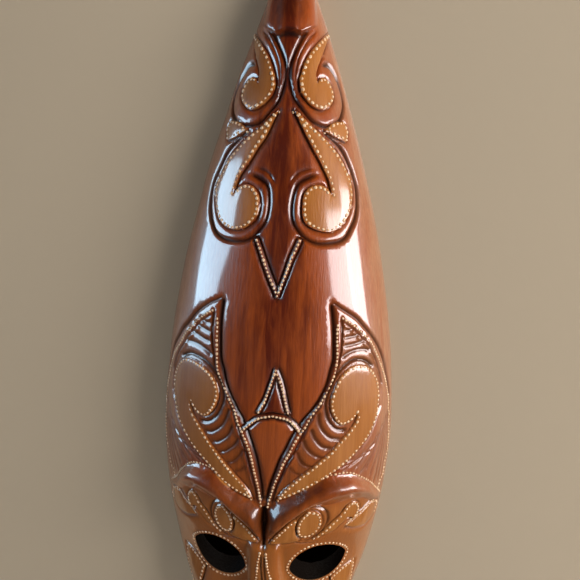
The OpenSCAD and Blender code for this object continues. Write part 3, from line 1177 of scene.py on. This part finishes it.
# Geometry Nodes: a low bead on every point, laid flat on the surface.
def dotTree(paint):
    tree = bpy.data.node_groups.new("beadsOnPoints", "GeometryNodeTree")
    sockets = tree.interface
    sockets.new_socket("Geometry", in_out="INPUT", socket_type="NodeSocketGeometry")
    sizes = {"Bead Radius": dots["radius"] * millimetre, "Bead Rise": dots["rise"] * millimetre,
             "Bead Length": dots["length"], "Variation": dots["variation"]}
    for label, value in sizes.items():
        sockets.new_socket(label, in_out="INPUT", socket_type="NodeSocketFloat").default_value = value
    sockets.new_socket("Seed", in_out="INPUT", socket_type="NodeSocketInt").default_value = dots["seed"]
    sockets.new_socket("Geometry", in_out="OUTPUT", socket_type="NodeSocketGeometry")
    given, out = tree.nodes.new("NodeGroupInput").outputs, tree.nodes.new("NodeGroupOutput")
    outward, along = (
        addNode(tree, "GeometryNodeInputNamedAttribute", data_type="FLOAT_VECTOR", Name=label).outputs[0]
        for label in ("outward", "along")
    )
    turn = addNode(tree, "FunctionNodeAlignRotationToVector", axis="Z", Vector=outward)
    swing = addNode(tree, "FunctionNodeAlignRotationToVector", axis="X", pivot_axis="Z", Vector=along,
                    Rotation=turn.outputs["Rotation"])
    vary = addNode(tree, "FunctionNodeRandomValue", data_type="FLOAT", Seed=given["Seed"])
    feed(tree, vary.inputs[2], combine(tree, "SUBTRACT", 1.0, given["Variation"]))
    feed(tree, vary.inputs[3], combine(tree, "ADD", 1.0, given["Variation"]))
    longer = combine(tree, "MULTIPLY", given["Bead Radius"], given["Bead Length"])
    size = addNode(tree, "ShaderNodeCombineXYZ", X=longer, Y=given["Bead Radius"], Z=given["Bead Rise"])
    scaled = addNode(tree, "ShaderNodeVectorMath", operation="SCALE", Scale=vary.outputs[1])
    feed(tree, scaled.inputs[0], size.outputs[0])
    bead = addNode(tree, "GeometryNodeMeshUVSphere", Segments=8, Rings=5, Radius=1.0)
    place = addNode(
        tree,
        "GeometryNodeInstanceOnPoints",
        Points=given["Geometry"],
        Instance=bead.outputs["Mesh"],
        Rotation=swing.outputs["Rotation"],
        Scale=scaled.outputs[0],
    )
    real = addNode(tree, "GeometryNodeRealizeInstances", Geometry=place.outputs["Instances"])
    smooth = addNode(tree, "GeometryNodeSetShadeSmooth", Geometry=real.outputs["Geometry"])
    finish = addNode(tree, "GeometryNodeSetMaterial", Geometry=smooth.outputs["Geometry"], Material=paint)
    feedAll(tree, out, Geometry=finish.outputs["Geometry"])
    return tree


def makeDots(paint):
    pattern, ways = dotPlaces()
    right, left = pattern[:, 0] > 0.5, pattern[:, 0] > -0.5
    rims = [onFront(eyeLoop(side, 1.5, 42)) for side in (-1, 1)]
    places = np.concatenate([carvedPlace(pattern[right], 1), carvedPlace(pattern[left], -1)] + rims)
    ways = np.concatenate([ways[right], ways[left] * (-1, 1)] + [np.roll(r, -1, axis=0) - r for r in rims])
    cells = np.floor(places / dots["apart"]).astype(int)
    first = {tuple(cell): i for i, cell in reversed(list(enumerate(cells)))}
    kept = np.array(sorted(first.values()))
    kept = kept[np.abs(places[kept, 0]) < halfGirth(places[kept, 1]) - 1.5]
    places, ways = places[kept], ways[kept]
    surface, _, _ = frontPoint(places[:, 0], places[:, 1])
    outward = blockNormal(places[:, 0], places[:, 1])
    along = blockPoint(places[:, 0] + ways[:, 0] * 0.2, places[:, 1] + ways[:, 1] * 0.2)
    along -= blockPoint(places[:, 0], places[:, 1])
    mesh = bpy.data.meshes.new("dot_seeds")
    mesh.from_pydata((surface * millimetre).tolist(), [], [])
    for name, vectors in (("outward", outward), ("along", along)):
        mesh.attributes.new(name, "FLOAT_VECTOR", "POINT").data.foreach_set("vector", vectors.ravel())
    seeds = addObject("dot_seeds", mesh)
    beads = seeds.modifiers.new("beads", "NODES")
    beads.node_group = dotTree(paint)
    for socket in beads.node_group.interface.items_tree:
        if socket.in_out == "INPUT" and socket.name == "Seed":
            beads[socket.identifier] = dots["seed"]
    shown = seeds.evaluated_get(bpy.context.evaluated_depsgraph_get())
    mesh = bpy.data.meshes.new_from_object(shown)
    mesh.materials.clear()
    mesh.materials.append(paint)
    bpy.data.objects.remove(seeds)
    print("dots:", len(places))
    return addObject("painted_dots", mesh)


metal = {
    "zinc": (0.55, 0.56, 0.57),
    "zincWorn": (0.33, 0.33, 0.33),
    "brass": (0.68, 0.47, 0.18),
    "brassDull": (0.36, 0.22, 0.08),
    "scratches": {"Streaks": 900.0, "Pores": 4000.0, "Stretch": 0.1},
    "patchSize": 180.0,
    "spread": 0.2,
    "bump": (0.15, 0.00005),
}


def makeMetal(name, colour, worn, roughness):
    material, tree, shader = newMaterial(name)
    patch = placeGroup(tree, patches, Size=metal["patchSize"]).outputs
    scratches = placeGroup(tree, woodGrain, **metal["scratches"])
    feedAll(
        tree,
        shader,
        Base_Color=mixColours(tree, patch["Patch"], colour, worn),
        Roughness=rangeOf(tree, patch["Speck"], 0, 1, roughness, roughness + metal["spread"]),
        Metallic=1.0,
    )
    addBump(tree, shader, scratches.outputs["Pore"], *metal["bump"])
    return material


varnishedWood = makeWood()
limePaint = makePaint()
carvedMask = carveMask()
carvedMask.data.materials.append(varnishedWood)
carvedMask.data.materials.append(makeRawWood())
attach(carvedMask, "mask")
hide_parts("mask_body")
print("mask carved")

paintedDots = makeDots(limePaint)
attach(paintedDots, "mask")
print("dots painted")

finishes = {
    "hanger_strap": makeMetal("zinc_plate", metal["zinc"], metal["zincWorn"], 0.3),
    "hanger_ring": makeMetal("brass_wire", metal["brass"], metal["brassDull"], 0.22),
    "hanger_screw": makeMetal("brass_screw", metal["brass"], metal["brassDull"], 0.3),
}
for node, material in finishes.items():
    for piece in [o for o in bpy.context.scene.objects if o.get("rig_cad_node") == node]:
        piece.data.materials.clear()
        piece.data.materials.append(material)
print("hanger finished")


stage = {
    "floorDrop": 0.12,
    "floorSize": 3.0,
    "wallGap": 0.0008,
    "paleFloor": (0.56, 0.545, 0.52),
    "paleWall": (0.50, 0.43, 0.335),
    "paintedShade": (0.002, 0.002, 0.002),
    "shadeMiddle": (0.0, 0.0, -0.17),
    "shadeHalf": (0.062, 1.0, 0.215),
    "shadeEdge": (0.97, 1.0),
    "floorRoughness": 0.8,
}


def flatSheet(name, corners, material):
    mesh = bpy.data.meshes.new(name)
    mesh.from_pydata(corners, [], [(0, 1, 2, 3)])
    mesh.materials.append(material)
    return addObject(name, mesh)


def makeStage():
    low = cadBox[0][2] - stage["floorDrop"]
    size, gap = stage["floorSize"], stage["wallGap"]
    floorMaterial, tree, shader = newMaterial("pale_floor")
    feedAll(tree, shader, Base_Color=(*stage["paleFloor"], 1), Roughness=stage["floorRoughness"])
    wallMaterial, tree, shader = newMaterial("pale_wall")
    # Painted shade on the wall behind the mask, where the eye holes look through.
    coordinates = addNode(tree, "ShaderNodeTexCoord")
    shade = addNode(tree, "ShaderNodeMapping", vector_type="TEXTURE", Location=stage["shadeMiddle"],
                    Scale=stage["shadeHalf"], Vector=coordinates.outputs["Object"])
    spread = addNode(tree, "ShaderNodeVectorMath", operation="LENGTH")
    feed(tree, spread.inputs[0], shade.outputs[0])
    paintedShade = rangeOf(tree, spread.outputs["Value"], *stage["shadeEdge"])
    shadedWall = mixColours(tree, paintedShade, stage["paintedShade"], stage["paleWall"])
    feedAll(tree, shader, Base_Color=shadedWall, Roughness=1.0, Specular_IOR_Level=0.0)
    # The wall is seen from its front only, and lets lamps shine through it.
    clear = tree.nodes.new("ShaderNodeBsdfTransparent")
    mix = tree.nodes.new("ShaderNodeMixShader")
    geometry = tree.nodes.new("ShaderNodeNewGeometry")
    path = tree.nodes.new("ShaderNodeLightPath")
    see = combine(tree, "MAXIMUM", geometry.outputs["Backfacing"], path.outputs["Is Shadow Ray"])
    for socket, value in enumerate((see, shader.outputs[0], clear.outputs[0])):
        feed(tree, mix.inputs[socket], value)
    feedAll(tree, tree.nodes["Material Output"], Surface=mix.outputs[0])
    corners = [(-size, -size, low), (size, -size, low), (size, size, low), (-size, size, low)]
    floor = flatSheet("floor", corners, floorMaterial)
    floor.visible_glossy = False  # the varnish mirrors the windows and not the floor
    corners = [(-size, gap, low), (size, gap, low), (size, gap, size), (-size, gap, size)]
    wall = flatSheet("wall", corners, wallMaterial)


# Each lamp says whether it shows in the gloss, lights the surfaces, or does both.
lights = {
    "leftWindow": {"place": (-1.45, -0.42, 0.045), "size": (1.05, 0.85), "power": 30.0,
                   "colour": (0.52, 0.78, 1.0), "shows": "gloss"},
    "rightWindow": {"place": (1.22, -0.87, -0.09), "size": (0.54, 0.67), "power": 11.5,
                    "colour": (1.0, 0.96, 0.98), "shows": "gloss"},
    "rightCurtain": {"place": (1.43, -0.45, -0.05), "size": (0.55, 0.85), "power": 19.0,
                     "colour": (1.0, 0.93, 0.94), "shows": "gloss"},
    "keyRight": {"place": (1.55, -0.8, 0.75), "size": (1.0, 1.0), "power": 42.0,
                 "colour": (1.0, 0.93, 0.84), "shows": "surface"},
    "fillLeft": {"place": (-1.3, -1.2, 0.5), "size": (1.0, 1.0), "power": 2.0,
                 "colour": (0.90, 0.95, 1.0), "shows": "surface"},
    "behind": {"place": (0.3, 1.6, 0.7), "size": (1.4, 1.4), "power": 34.0,
               "colour": (1.0, 0.97, 0.93), "shows": "both"},
}
world = {"colour": (0.95, 0.97, 1.0), "seen": 0.8, "glow": 0.14, "gloss": 0.01}
aim = Vector((0, 0, -0.12))


def makeLights():
    for name, light in lights.items():
        data = bpy.data.lights.new(name, "AREA")
        data.shape = "RECTANGLE"
        data.size, data.size_y = light["size"]
        data.energy = light["power"]
        data.color = light["colour"]
        lamp = addObject(name, data)
        lamp.location = light["place"]
        lamp.rotation_euler = (aim - Vector(light["place"])).to_track_quat("-Z", "Y").to_euler()
        lamp.visible_diffuse = light["shows"] != "gloss"
        lamp.visible_glossy = light["shows"] != "surface"
    sky = bpy.data.worlds.new("world")
    sky.use_nodes = True
    tree = sky.node_tree
    path = tree.nodes.new("ShaderNodeLightPath")
    glow = rangeOf(tree, path.outputs["Is Glossy Ray"], 0, 1, world["glow"], world["gloss"])
    seen = rangeOf(tree, path.outputs["Is Camera Ray"], 0, 1, 0, world["seen"] - world["glow"])
    glow = combine(tree, "ADD", glow, seen)
    tree.nodes["Background"].inputs[0].default_value = (*world["colour"], 1)
    tree.links.new(glow, tree.nodes["Background"].inputs[1])
    bpy.context.scene.world = sky
    bpy.context.scene.view_settings.view_transform = "Standard"


makeStage()
makeLights()
print("stage lit")
